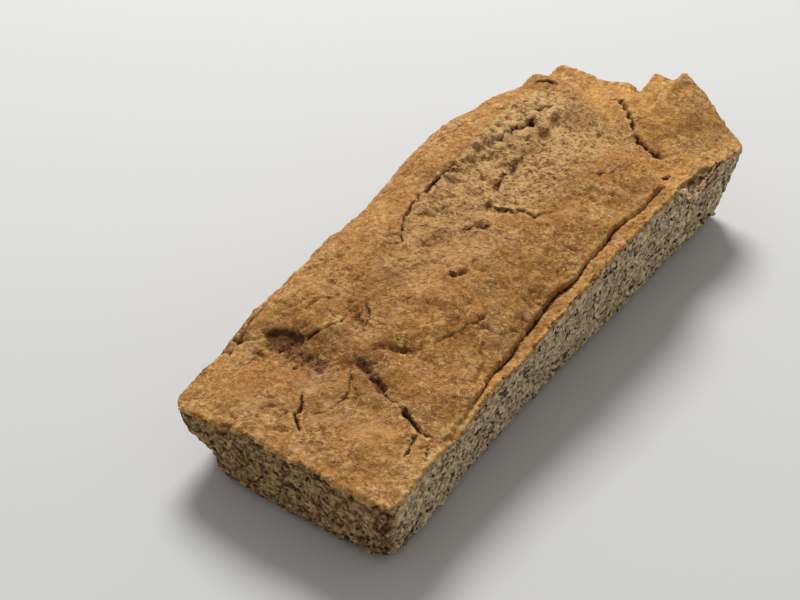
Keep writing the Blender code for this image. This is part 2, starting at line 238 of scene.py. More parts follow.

# Flaps: the crust on the left of each line, as one walks it, hangs over a hollow on its right.
# They are given as the hollow's depth and reach, the overhang, how dark the painted shadow under the lip is, the
# shadow's width and the line.
def flap(drop, reach, over, darkShade, shadow, line, flat=0.1, endSoft=5.0, jag=1.0):
    return {"drop": drop, "reach": reach, "over": over, "darkShade": darkShade, "shadow": shadow, "line": line, "flat": flat,
            "endSoft": endSoft, "jag": jag}


flaps = {
    "caveLip": flap(2.3, 8.5, 1.0, 0.7, 1.3, ((-48, -102), (-43, -98.5), (-37, -97.7), (-31, -97.5), (-26, -98.5)),
                    endSoft=9.0, flat=0.7, jag=0.7),
    "cavity": flap(2.4, 3.6, 1.0, 0.7, 0.8, ((8, -5), (4, -5), (-2, -7), (-6, -11))),
    "midCrease": flap(1.3, 3.6, 0.7, 0.4, 0.5, ((-4, 9), (5, 12), (11, 15), (17, 20), (22, 26)), jag=1.4),
    "redFlap": flap(1.4, 3.0, 0.6, 0.6, 0.8, ((-50, 117), (-47, 122), (-43, 124), (-37, 124))),
}

# The torn crumb's edges along the dome, as (y, x)
tornBand = {
    "left": ((-72, -10), (-50, -24), (-34, -29), (-16, -33), (0, -35), (30, -34), (60, -37), (85, -41), (112, -44)),
    "right": ((-72, -6), (-50, 2), (-12, 6), (5, 5), (15, 14), (40, 17), (76, 17), (100, 15), (120, 12)),
    "start": -66.0, "end": 130.0, "ragged": ((3.0, 9.0, 41.0), (1.6, 3.5, 43.0)),
}

tornSide = {   # crumb bared beside the far plate, as (y, x) of the crust's edge above it
    "edge": ((80, 59), (88, 53), (98, 47), (108, 48), (118, 50.5), (128, 55.5), (138, 62), (152, 64)),
    "start": 82.0, "end": 146.0, "step": 1.2, "slope": 0.42, "ragged": ((1.2, 4.0, 47.0), (0.6, 1.7, 49.0)),
}

swells = (   # soft rises and dips: x, y, reach, height
    (-12, -78, 9, -2.3), (-9, -54, 8, -1.7), (15, -80, 7, -1.9), (-36, -82, 11, 1.7), (22, -58, 14, 1.5),
    (-36, 50, 5, 1.2), (-37, 66, 5, 2.2), (-39, 84, 5, 2.2), (-38, 100, 5, 1.5),
    (-20, 58, 4, 1.6), (-20, 70, 4.5, 2.5), (-20, 83, 4.5, 2.3), (-22, 96, 4, 1.8),
    (-12, 30, 4, -2.0), (-13, 45, 4, -2.3), (-13, 60, 4, -2.5), (-15, 76, 4, -2.5), (-17, 92, 4, -2.2),
    (-18, 107, 4, -1.8), (-2, 40, 6, 1.0), (0, 58, 6, 1.2), (-1, 76, 6, 1.0), (3, 118, 3, 1.4), (14, 94, 3, 1.2),
    (35, 100, 8, -1.8), (38, 146, 9, 1.8), (-42, 128, 9, 1.5), (-15, -100, 6, -2.4), (20, -70, 6, 1.4),
    (8, -112, 9, 1.0), (33, -124, 10, 0.8), (-30, -124, 10, 0.8), (-20, -24, 9, -1.2), (4, -52, 8, 1.1),
)

redPatches = (   # x, y, reach, strength
    (-12, -76, 11, 0.8), (-10, -53, 9, 0.7), (10, -84, 9, 0.7), (-32, -104, 9, 0.8), (-44, 121, 8, 0.9),
    (22, 108, 10, 0.5), (2, -96, 9, 0.6), (52, -108, 6, 0.8), (-26, -60, 10, 0.35), (40, 60, 12, 0.3),
    (-10, 128, 10, 0.5), (15, 60, 14, 0.3), (-22, -101, 9, 0.9), (-14, -101, 6, 0.9), (14, -80, 6, 0.9),
    (-4, 118, 8, 0.4), (-1, -9, 5, 0.9), (-11, 107, 9, 0.8), (-52, -142, 9, 0.35), (-20, 112, 8, 0.5),
    (-28, 84, 5, 0.7), (0, -62, 8, 0.5), (-24, -44, 7, 0.5), (36, 20, 10, 0.4),
)

ashenPatches = (   # paler, greyer skin: x, y, reach, strength
    (14, -114, 10, 0.8), (-10, -113, 6, 0.9), (26, -118, 9, 0.5), (-14, -94, 6, 0.6), (-30, 20, 8, 0.4),
    (-44, -60, 9, 0.4), (4, -30, 10, 0.5), (-8, -34, 6, 0.7), (-24, 62, 8, 0.5), (-50, -120, 8, 0.4),
)


def nearestOnLine(x, y, line):   # the way to it, the gap, how far along it, and on which side
    best = np.full(x.shape, 1e6)
    where, side = np.zeros(x.shape), np.ones(x.shape)
    offX, offY = np.zeros(x.shape), np.zeros(x.shape)
    for index, ((ax, ay), (bx, by)) in enumerate(zip(line, line[1:])):
        spanX, spanY = bx - ax, by - ay
        share = np.clip(((x - ax) * spanX + (y - ay) * spanY) / (spanX ** 2 + spanY ** 2), 0.0, 1.0)
        gapX, gapY = x - ax - spanX * share, y - ay - spanY * share
        gap = np.hypot(gapX, gapY)
        closer = gap < best
        best = np.where(closer, gap, best)
        where = np.where(closer, (index + share) / (len(line) - 1), where)
        side = np.where(closer, np.where(spanX * gapY - spanY * gapX >= 0, 1.0, -1.0), side)
        offX, offY = np.where(closer, gapX, offX), np.where(closer, gapY, offY)
    return offX, offY, best, where, side


def crustColumns(share, y):   # even over the dome, closer over the crack and the ledge
    dome, crack, ledge = crustMesh["columns"]
    column = share * (dome + crack + ledge)
    line = crackLine(y)
    before, after = line - crustMesh["crackReach"][0], line + crustMesh["crackReach"][1]
    overDome = mixed(leftOutline(y), before, np.clip(column / dome, 0, 1))
    overCrack = mixed(before, after, (column - dome) / crack)
    overLedge = mixed(after, rightOutline(y), (column - dome - crack) / ledge)
    return np.where(column <= dome, overDome, np.where(column <= dome + crack, overCrack, overLedge))


def evenColumns(share, y):
    return mixed(leftOutline(y), rightOutline(y), share)


def placeOnLevel(across, along, inset, columns, farLean=0.0):   # the grid's points on one level of the loaf
    fullY = along * loafForm["halfLength"]
    left, right = leftOutline(fullY) + inset, rightOutline(fullY) - inset
    middle = (left + right) / 2
    shrink = (right - left) / (right - left + 2 * inset)
    x = middle + (columns((across + 1) / 2, fullY) - middle) * shrink
    halfLength = loafForm["halfLength"] - inset - np.where(along > 0, farLean, 0.0)
    y = along * halfLength
    side, end = np.where(x > middle, 1.0, -1.0), np.where(y > 0, 1.0, -1.0)
    edge = np.where(side > 0, right, left)
    inX, inY = side * (edge - x), halfLength - end * y
    radius = loafForm["cornerRadius"]
    overX, overY = np.maximum(0, radius - inX), np.maximum(0, radius - inY)
    corner = (overX > 0) & (overY > 0)
    most, length = np.maximum(overX, overY), np.hypot(overX, overY) + 1e-9
    outX = np.where(corner, side * overX / length, np.where(inX < inY, side, 0.0))
    outY = np.where(corner, end * overY / length, np.where(inX < inY, 0.0, end))
    px = np.where(corner, edge - side * radius + outX * most, x)
    py = np.where(corner, end * (halfLength - radius) + outY * most, y)
    distance = np.maximum(0.0, np.where(corner, radius - most, np.minimum(inX, inY)))
    near = np.hypot(px + loafForm["halfWidth"], py + loafForm["halfLength"])
    pull = loafForm["cornerPull"] * mound(near, 0.0, loafForm["cornerPullReach"])
    return px + 0.7 * pull, py + 0.7 * pull, outX, outY, distance


def roundDrop(distance, radius):   # how far a quarter round lies below its top at a distance in
    inside = np.clip(radius - distance, 0.0, None)
    return radius - np.sqrt(np.maximum(0.0, radius ** 2 - inside ** 2))


def shoulderRadius(x, y):
    along = window(y, -106, loafForm["halfLength"] - 6, 35)
    share = along * ramp(-x, 0, 0.5 * loafForm["halfWidth"])
    return mixed(loafForm["edgeRadius"], loafForm["domeShoulderRadius"], share)


def leftBulge(y, outX):
    along = window(y, -96, loafForm["halfLength"] - 12, 50)
    return loafForm["leftBulge"] * along * np.maximum(0.0, -outX)


def bareEdge(y):
    return np.interp(y, *zip(*tornSide["edge"]))


def baseHeight(x, y):   # the solid's own top, without its cracks
    share, farShare = domeShare(x, y)
    plate = mixed(nearPlateHeight(x, y), farPlateHeight(x, y), farShare)
    height = mixed(plate, domeHeight(x, y), share)
    line = crackLine(y)
    rolled = roundDrop(np.abs(line - x), ledgeCrack["roll"]) / ledgeCrack["roll"]
    height = height - ledgeCrack["rollDrop"] * rolled * crackOpen(y) * (x < line)
    past = ramp(x, line - 0.5, line + 1.2)
    ledge = ledgeHeight(y) - ledgeCrack["innerDrop"] * mound(x, line, 3.5)
    height = mixed(height, ledge, past * np.maximum(crackOpen(y), share))
    height = height - topForm["farLeftDrop"] * ramp(-x, 8, 34) * ramp(y, 126, 150)
    height = height - topForm["farRightDrop"] * ramp(x, 26, 50) * ramp(y, 112, 150)
    height = height - tornSide["slope"] * np.maximum(0.0, x - bareEdge(y)) * window(y, 80, 150, 9)
    height = height + flatLayered(x, y, topForm["unevenness"])
    for swellX, swellY, reach, rise in swells:
        height = height + rise * mound(np.hypot(x - swellX, y - swellY), 0.0, reach)
    return height


def wallInset(x, y, outX, height, rim, bulge):
    foot = roundDrop(height, loafForm["footRadius"])
    lean = loafForm["wallLean"] + loafForm["rightLean"] * ramp(y, -120, -30) * np.maximum(0.0, outX)
    lean = lean * (1.0 - height / rim)
    corner = np.hypot(x + loafForm["halfWidth"], y + loafForm["halfLength"])
    lost = loafForm["cornerLoss"] * mound(corner, 0.0, loafForm["cornerLossReach"])
    lost = lost * (1.0 - ramp(height, loafForm["cornerLossStart"], loafForm["cornerLossTop"]))
    rightCorner = np.hypot(x - loafForm["halfWidth"], y + loafForm["halfLength"])
    lost = lost + loafForm["rightCornerLoss"] * mound(rightCorner, 0.0, 14.0) * (1.0 - ramp(height, 8, 30))
    return foot + lean + lost - bulge * ramp(height, 0.45 * rim, rim)


def jagged(x, y):   # a torn edge's wander across the plan
    return [flatLayered(x, y, ((1.5, 5.0, seed), (0.9, 2.0, seed + 2.0))) for seed in (21.0, 27.0)]


def drawnToCracks(x, y, distance):   # the grid is drawn in to each line, so that its edges are sharp
    inner = ramp(distance, 1.0, 6.0)
    for group, strength, reach in ((cracks, 0.55, 3.0), (flaps, 0.7, 3.2)):
        for entry in group.values():
            offX, offY, gap = nearestOnLine(x, y, entry["line"])[:3]
            pull = strength * inner * mound(gap, 0.0, reach)
            x, y = x - pull * offX, y - pull * offY
    return x, y


def crackedTop(x, y):   # what the cracks and flaps do to the height, the colour and the place of each point
    jagX, jagY = jagged(x, y)
    varied = np.clip(0.8 + flatLayered(x, y, ((1.1, 3.2, 31.0), (0.7, 1.5, 33.0))), 0.3, 1.5)
    drop, darkShade = np.zeros(x.shape), np.zeros(x.shape)
    moveX, moveY, hollow = np.zeros(x.shape), np.zeros(x.shape), np.zeros(x.shape)
    split, splitShade, lips = np.full(x.shape, 8.0), np.zeros(x.shape), np.zeros(x.shape)
    # each crack is painted dark inside: painted shade in its gap, with some of the inner crust's redder tone
    for one in cracks.values():
        depth, half, jag = one["depth"], one["half"], one["jag"]
        gap, where, side = nearestOnLine(x + jag * jagX, y + jag * jagY, one["line"])[2:]
        fade = np.minimum(1.0, 0.3 + 5.0 * np.minimum(where, 1.0 - where))
        fade = np.where(gap < 6 * half, fade, 1.0)
        change = mixed(1.0, varied, one["vary"])
        hole = fade * change * mound(gap, 0.0, half * (0.55 + 0.5 * change))
        hollow = np.maximum(hollow, one["crumbly"] * fade * mound(gap, 0.0, 1.5 * half))
        nearness = gap / half
        closer = nearness < np.abs(split)
        inside = np.minimum(where, 1.0 - where) * (len(one["line"]) - 1)
        ends = 1.0 if one["isHole"] else ramp(inside, 0.0, 0.4)   # a hole keeps its round ends
        split = np.where(closer, nearness if one["isHole"] else side * nearness, split)
        splitShade = np.where(closer, one["darkShade"] * ends, splitShade)
        # a band along each dark crack's lips, painted pale later as a highlight
        lips = np.maximum(lips, mound(gap, 1.1 + half, 0.6) * ramp(one["darkShade"], 0.5, 1.0) * fade)
        lip = 0.12 * depth * mound(gap, 2.3 * half, 1.2 * half)
        drop = np.maximum(drop, depth * hole) - lip * (drop < 0.5)
        darkShade = np.maximum(darkShade, one["darkShade"] * fade * np.minimum(change, 1.0) * mound(gap, 0.0, half))
    for one in flaps.values():   # the painted shadow under a flap's lip is a line of its own
        reach, shadow, jag = one["reach"], one["shadow"], one["jag"]
        offX, offY, gap, where, side = nearestOnLine(x + jag * jagX, y + jag * jagY, one["line"])
        fade = np.minimum(1.0, np.minimum(5.0 * where, one["endSoft"] * (1.0 - where))) * (gap < 4 * reach)
        signed = side * gap
        under = (signed + 0.45 * shadow) / shadow
        closer = (np.abs(under) < np.abs(split)) & (gap < 3 * shadow)
        split = np.where(closer, under, split)
        inside = np.minimum(where, 1.0 - where) * (len(one["line"]) - 1)
        splitShade = np.where(closer, one["darkShade"] * ramp(inside, 0.0, 0.5), splitShade)
        below = fade * (1.0 - ramp(-signed, one["flat"] * reach, 1.35 * reach)) * (1.0 - ramp(signed, 0.0, 1.1))
        drop = drop + one["drop"] * below
        over = one["over"] * fade * ramp(signed, 0.4, 1.2) * mound(np.maximum(signed, 1.2), 1.2, 2.2)
        moveX, moveY = moveX - over * offX / (gap + 1e-6), moveY - over * offY / (gap + 1e-6)
        shade = mound(np.minimum(signed, 0.0), 0.0, 0.22 * reach) * (1.0 - ramp(signed, 0.2, 1.0))
        darkShade = np.maximum(darkShade, 0.4 * one["darkShade"] * fade * shade)
        hollow = np.maximum(hollow, min(1.0, one["drop"] / 3.0) * below)
        # the flap's lip band, painted pale later as a highlight
        lips = np.maximum(lips, 1.2 * fade * mound(signed, 1.3, 0.7))
    return drop, darkShade, hollow, moveX, moveY, split, splitShade, lips


def tornMask(x, y):   # how far the dome's skin is torn open
    left = np.interp(y, *zip(*tornBand["left"]))
    right = np.interp(y, *zip(*tornBand["right"]))
    rough = flatLayered(x, y, tornBand["ragged"])
    across = ramp(x + 0.4 * rough, left - 1.2, left + 1.2) * (1.0 - ramp(x + 2.0 * rough, right - 9, right + 7))
    across = across * mixed(0.4, 1.0, ramp(y, -40, 24))
    return across * window(y + 2.5 * rough, tornBand["start"], tornBand["end"], 22)


def sideMask(x, y):
    edge = bareEdge(y)
    rough = flatLayered(x, y, tornSide["ragged"])
    return ramp(x + rough, edge - 0.2, edge + 0.8) * window(y + rough, tornSide["start"], tornSide["end"], 4)


def besideTornSide(y, outX):   # the wall below the torn side
    return window(y, tornSide["start"], tornSide["end"], 5) * (outX > 0.7)


def cutAlong(bm, axis, pieces):
    edges = []
    for edge in bm.edges:
        way = (edge.verts[1].co - edge.verts[0].co).normalized()
        if abs(way[axis]) > 0.9:
            edges.append(edge)
    bmesh.ops.subdivide_edges(bm, edges=edges, cuts=pieces - 1, use_grid_fill=True)


def flatCap(bm, height):   # makes a closed flat cap one face
    flat = [face for face in bm.faces if all(abs(vert.co.z - height) < 1e-5 for vert in face.verts)]
    bmesh.ops.dissolve_faces(bm, faces=flat, use_verts=True)


def readPoints(bm):
    return np.array([vert.co for vert in bm.verts])


def writePoints(bm, points):
    for vert, point in zip(bm.verts, points):
        vert.co = point


def setAttribute(mesh, name, values):
    attribute = mesh.attributes.new(name, "FLOAT", "POINT")
    attribute.data.foreach_set("value", np.asarray(values, np.float32))


def vertexNormals(bm):
    bm.normal_update()
    return np.array([vert.normal for vert in bm.verts])


poreShape = {"wander": 0.9, "wanderSize": 1.7, "reach": 1.25, "deep": 0.95, "bowl": 0.72, "colour": 0.75}


def carvePores(points, normals, allowed, spots):   # rough bowls, or bumps where the depth is negative
    chooser = random.Random(spots["seed"])
    found = np.nonzero(allowed > 0.3)[0]
    moved, mask = np.zeros(len(points)), np.zeros(len(points))
    shifts = (spots["seed"] + shift for shift in (0.3, 5.3, 9.3))
    wander = np.stack([solidNoise(points[found], poreShape["wanderSize"], shift) for shift in shifts], 1)
    asked = points[found] + poreShape["wander"] * wander
    for count, smallest, largest in spots["sizes"]:
        picked = [int(found[chooser.randrange(len(found))]) for _ in range(count)]
        radii = [chooser.uniform(smallest, largest) for _ in range(count)]
        tree = kdtree.KDTree(count)
        for number, index in enumerate(picked):
            tree.insert(points[index], number)
        tree.balance()
        for index, here in zip(found, asked):
            for _, number, gap in tree.find_range(Vector(here), 1.3 * largest):
                share = gap / radii[number]
                if share < poreShape["reach"]:
                    bowl = poreShape["deep"] * radii[number] * math.exp(-(share / poreShape["bowl"]) ** 2)
                    moved[index] = max(moved[index], bowl)
                    mask[index] = max(mask[index], math.exp(-(share / poreShape["colour"]) ** 2))
    return points - spots["depth"] * normals * (moved * allowed)[:, None], mask * allowed


def finishPiece(bm, name, attributes, material):
    bmesh.ops.scale(bm, vec=Vector((metres, metres, metres)), verts=bm.verts)
    bmesh.ops.recalc_face_normals(bm, faces=bm.faces)
    mesh = bpy.data.meshes.new(name)
    bm.to_mesh(mesh)
    bm.free()
    for label, values in attributes.items():
        setAttribute(mesh, label, values)
    mesh.materials.append(material)
    mesh.shade_smooth()
    piece = bpy.data.objects.new(name, mesh)
    bpy.context.scene.collection.objects.link(piece)
    print(name, "has", sum(len(face.vertices) - 2 for face in mesh.polygons), "triangles")
    return piece


crustMesh = {
    "rows": 480, "columns": (140, 14, 18), "crackReach": (4.0, 2.4), "skirtLevels": 7,
    "capHeight": 30.0, "capInset": 7.0,
}

skirtForm = {   # how far the skin hangs below its rim, and how it turns in at its ragged edge
    "depth": 0.1, "ragged": 2.0, "noise": ((1.0, 6.0, 51.0), (0.9, 2.2, 53.0)), "nearRight": 1.5, "left": 2.5,
    "beside": 0.3, "lap": 1.6, "besideLap": 1.2, "turnUp": 0.3,
}

skinRelief = {   # noise layers are amount, size and seed
    "far": 0.3, "more": 0.4, "coarse": (5.0, 61.0), "fine": ((0.4, 2.1, 63.0),), "calm": 0.75,
    "broad": 1.5, "broadNoise": (12.0, 93.0), "lumps": ((1.6, 6.0, 65.0), (0.75, 2.6, 67.0)),
    "ledge": ((0.5, 1.8, 69.0),), "rim": ((1.0, 5.0, 89.0), (0.6, 2.3, 91.0)), "rimPush": 0.7, "ledgeLess": 0.3,
    "wrinkle": (8.0, 81.0, 0.06, 13.0, 83.0, -0.05, 0.3), "wrinkleDepth": 1.0,
    "finer": (4.5, 85.0, 0.07, 9.0, 87.0, -0.1, 0.25), "finerDepth": 0.5, "finerColour": 0.6,
}

skinSpots = {   # count, smallest and largest radius; bumps have a negative depth
    "puffs": {"depth": -0.75, "sizes": ((90, 1.8, 3.6), (60, 1.2, 2.0)), "seed": 7},
    "pits": {"depth": 1.0, "sizes": ((1100, 0.45, 0.9), (330, 0.8, 1.4)), "seed": 5},
    "crumbs": {"depth": -0.4, "sizes": ((1500, 0.6, 1.2), (420, 1.0, 1.8)), "seed": 6},
    "dents": {"depth": 1.0, "sizes": ((80, 0.6, 1.1), (9, 1.1, 1.7)), "seed": 8},
    "rimDents": {"depth": 1.0, "sizes": ((26, 0.9, 1.5), (8, 1.5, 2.4)), "seed": 10},
    "flakes": {"depth": -0.7, "sizes": ((130, 0.7, 1.5),), "seed": 11},
}


def gridBlock(rows, columns):   # a box cut into rows and columns; its callers make the flat underside one face
    bm = bmesh.new()
    bmesh.ops.create_cube(bm, size=2.0)
    cutAlong(bm, 1, rows)
    cutAlong(bm, 0, columns)
    return bm


def withLedgeCrack(x, y, darkShade, split, splitShade):   # the marks of the cracks, and of the long one by the ledge
    line, opened = crackLine(y), crackOpen(y)
    # painted shade down the ledge crack, and a painted shadow just under the crust's torn edge above the bared side
    darkShade = np.maximum(darkShade, 0.55 * mound(x, line, 0.9) * opened)
    darkShade = np.maximum(darkShade, mound(x, bareEdge(y) + 1.4, 1.3) * window(y, 102, 138, 10))
    across = (x - line + 0.2) / 0.34
    closer = (np.abs(across) < np.abs(split)) & (opened > 0.02)
    return darkShade, np.where(closer, across, split), np.where(closer, opened, splitShade)


def crustSkirt(across, along, up, x, y, outX, rim, bulge):   # down the wall, then in to a hidden flat cap
    levels = crustMesh["skirtLevels"]
    last = levels - 2
    level = np.clip((1.0 - up) / 2.0 * levels, 0, levels)
    ragged = layered(np.stack([x, y, np.zeros(len(x))], 1), skirtForm["noise"])
    depth = skirtForm["depth"] + skirtForm["ragged"] * np.clip(ragged + 0.35, -0.4, 1.2)
    depth = depth + skirtForm["nearRight"] * window(y, -112, -55, 16) * np.maximum(0.0, outX)
    depth = depth + skirtForm["left"] * np.maximum(0.0, -outX)
    beside = besideTornSide(y, outX)
    depth = mixed(depth, skirtForm["beside"], beside)
    down = np.clip(level / last, 0, 1)
    height = rim - depth * down
    turned, capped = level > last, level > last + 0.5
    inset = wallInset(x, y, outX, height, rim, bulge) + np.where(turned, skirtForm["lap"], 0.0)
    inset = np.where(capped, crustMesh["capInset"], inset + skirtForm["besideLap"] * beside)
    farLean = loafForm["farLean"] * (1.0 - height / rim)
    wallX, wallY = placeOnLevel(across, along, inset, crustColumns, farLean)[:2]
    height = np.where(turned, height + skirtForm["turnUp"], height)
    return wallX, wallY, np.where(capped, crustMesh["capHeight"], height), down, level <= last


def wrinkles(points, size, seed, width, whereSize, whereSeed, low, high):
    where = ramp(solidNoise(points, whereSize, whereSeed), low, high)
    return mound(solidNoise(points, size, seed), 0.0, width) * where


def skinPush(points, distance, calm, crumbly, ledgeTop):   # the grain of the skin and of the torn crumb
    grain = (skinRelief["far"] + skinRelief["more"] * calm) * solidNoise(points, *skinRelief["coarse"])
    grain = grain + layered(points, skinRelief["fine"])
    broad = solidNoise(points, *skinRelief["broadNoise"]) * ramp(distance, 2.0, 12.0)
    push = mixed(grain + skinRelief["broad"] * calm * broad, layered(points, skinRelief["lumps"]), crumbly)
    push = push + ledgeTop * layered(points, skinRelief["ledge"])
    wrinkle, finer = wrinkles(points, *skinRelief["wrinkle"]), wrinkles(points, *skinRelief["finer"])
    push = push - (skinRelief["wrinkleDepth"] * wrinkle + skinRelief["finerDepth"] * finer) * calm
    rimNoise = layered(points, skinRelief["rim"])
    rimPush = skinRelief["rimPush"] - skinRelief["ledgeLess"] * ledgeTop
    push = push + rimPush * rimNoise * mound(distance, 0.0, 3.0)
    # the wrinkles' share is painted redder and darker in the material: painted shade in their grooves
    return push, np.clip(wrinkle + skinRelief["finerColour"] * finer, 0, 1) * calm, rimNoise


def patchShare(x, y, patches):
    share = np.zeros(len(x))
    for patchX, patchY, reach, strength in patches:
        share = np.maximum(share, strength * mound(np.hypot(x - patchX, y - patchY), 0.0, reach))
    return share


def makeTopCrust(material):
    bm = gridBlock(crustMesh["rows"], sum(crustMesh["columns"]))
    cutAlong(bm, 2, crustMesh["skirtLevels"])
    flatCap(bm, -1.0)
    across, along, up = readPoints(bm).T
    x, y, outX, outY, distance = placeOnLevel(across, along, 0.0, crustColumns)
    x, y = drawnToCracks(x, y, distance)
    torn, bared, band = tornMask(x, y), sideMask(x, y), bandShare(x, y)
    line, opened = crackLine(y), crackOpen(y)
    drop, darkShade, hollow, moveX, moveY, split, splitShade, lips = crackedTop(x, y)
    darkShade, split, splitShade = withLedgeCrack(x, y, darkShade, split, splitShade)
    top = baseHeight(x, y) - topForm["bandDepth"] * band + topForm["bandLumps"] * band * flatNoise(x, y, 7.0, 11.3)
    top = top - drop - ledgeCrack["depth"] * mound(x, line, ledgeCrack["halfWidth"]) * opened
    radius = shoulderRadius(x, y)
    rim, bulge = top - radius, leftBulge(y, outX)
    # the top, and the skirt below its rim
    isTop = up > 0.999
    bulged = bulge * (1.0 - ramp(distance, 0, loafForm["leftBulgeReach"]))
    overDome = ledgeCrack["overhang"] * opened * mound(x, line - 1.6, 1.5)
    topZ = top - roundDrop(distance, radius)
    wallX, wallY, wallZ, down, onSkirt = crustSkirt(across, along, up, x, y, outX, rim, bulge)
    points = np.stack([np.where(isTop, x + moveX + outX * bulged + overDome, wallX),
                       np.where(isTop, y + moveY + outY * bulged, wallY), np.where(isTop, topZ, wallZ)], 1)
    writePoints(bm, points)
    normals = vertexNormals(bm)
    # grain, torn crumb and pores, pushed along the surface's own direction
    visible = np.where(isTop | onSkirt, 1.0, 0.0)
    bare = np.clip(np.maximum(torn * 0.9, bared), 0, 1) * visible
    ledgeTop = ramp(x, line + 1.0, line + 2.5) * opened * visible
    calm = 1.0 - skinRelief["calm"] * domeShare(x, y)[1]   # the far plate is smoother
    push, wrinkled, rimNoise = skinPush(points, distance, calm, np.maximum(bare, hollow), ledgeTop)
    points = points + normals * ((push - tornSide["step"] * bared) * visible)[:, None]
    puffy = torn * visible * window(y, 24, 122, 18) * mound(x + 31, 0.0, 12.0)
    points, puffs = carvePores(points, normals, puffy, skinSpots["puffs"])
    points, pits = carvePores(points, normals, np.maximum(bare, 0.8 * hollow), skinSpots["pits"])
    crusty = visible * (1.0 - np.minimum(1.0, 1.5 * bare + darkShade)) * (0.25 + 0.75 * mound(distance, 0.0, 14.0))
    crusty = crusty * (1.0 - 0.7 * ledgeTop)
    points, crumbs = carvePores(points, normals, crusty, skinSpots["crumbs"])
    points, dents = carvePores(points, normals, hollow * visible, skinSpots["dents"])
    atRim = ledgeTop * mound(distance, 0.0, 1.5) * ramp(outX, 0.3, 0.7)
    points, rimDents = carvePores(points, normals, atRim, skinSpots["rimDents"])
    nearRim = ramp(-outY, 0.3, 0.7)
    flaky = visible * mound(distance, 0.0, 2.6) * nearRim * ramp(rimNoise, -0.3, 0.3)
    points, flakes = carvePores(points, normals, flaky, skinSpots["flakes"])
    writePoints(bm, points)
    # what the material reads
    red = 0.5 * mound(distance, 0.0, 12.0) * nearRim * ramp(rimNoise, -0.4, 0.4)
    red = np.maximum(np.maximum(red, patchShare(x, y, redPatches)), 0.8 * ramp(down, 0.35, 0.9) * (1 - isTop))
    edgeGold = mound(distance, 0.0, 4.5) * ramp(outX - outY, -0.5, 0.5) * ramp(rimNoise, -0.5, 0.3)
    # the ledge strip's golden tone, painted brightest near its outer rim and duller by the crack: painted highlight
    # and painted shade
    goldAndPaintedLight = np.maximum(0.25 * edgeGold, ledgeTop * mixed(0.15, 1.3, mound(distance, 0.7, 1.3)))
    # a painted highlight along the left rim, where the lamp grazes it, shown through the puff colour
    paintedRimHighlight = mound(x + 58, 0.0, 3.5) * window(y, -14, 48, 24) * visible
    # the lips are painted pale: a painted highlight along the cracks and flaps
    paintedLipHighlight = 0.8 * lips * visible * ramp(rimNoise, -0.5, 0.2)
    attributes = {
        # the far plate is also painted paler through this share: painted light where its slope turns from the lamp
        "bare": bare, "darkShade": darkShade, "red": red, "pore": pits, "goldAndPaintedLight": np.maximum(goldAndPaintedLight, 0.7 * domeShare(x, y)[1]),
        "side": bared, "fleckAndLipHighlight": np.maximum(np.maximum(crumbs, flakes), paintedLipHighlight),
        "crease": wrinkled * visible * (1.0 - bared), "split": split, "splitShade": splitShade * visible,
        "dent": np.maximum(dents, rimDents), "hollow": hollow * visible, "ashen": patchShare(x, y, ashenPatches),
        "puffAndRimHighlight": np.maximum(puffs, 0.5 * paintedRimHighlight),
    }
    return finishPiece(bm, "topCrust", attributes, material)


crumbMesh = {
    "rows": 450, "columns": 170, "levels": 76, "inset": 0.3,
    "capHeight": 34.0, "capInset": 8.0, "levelPower": 1.1,
}

crumbRelief = {   # noise layers are amount, size and seed
    "walls": ((0.7, 9.0, 71.0), (0.8, 3.2, 73.0), (0.5, 1.7, 75.0)), "foot": ((1.1, 4.0, 77.0), (0.7, 2.0, 79.0)),
    "pores": {"depth": 1.0, "sizes": ((3600, 0.5, 1.0), (1500, 0.9, 1.6), (110, 1.5, 2.4)), "seed": 9},
}


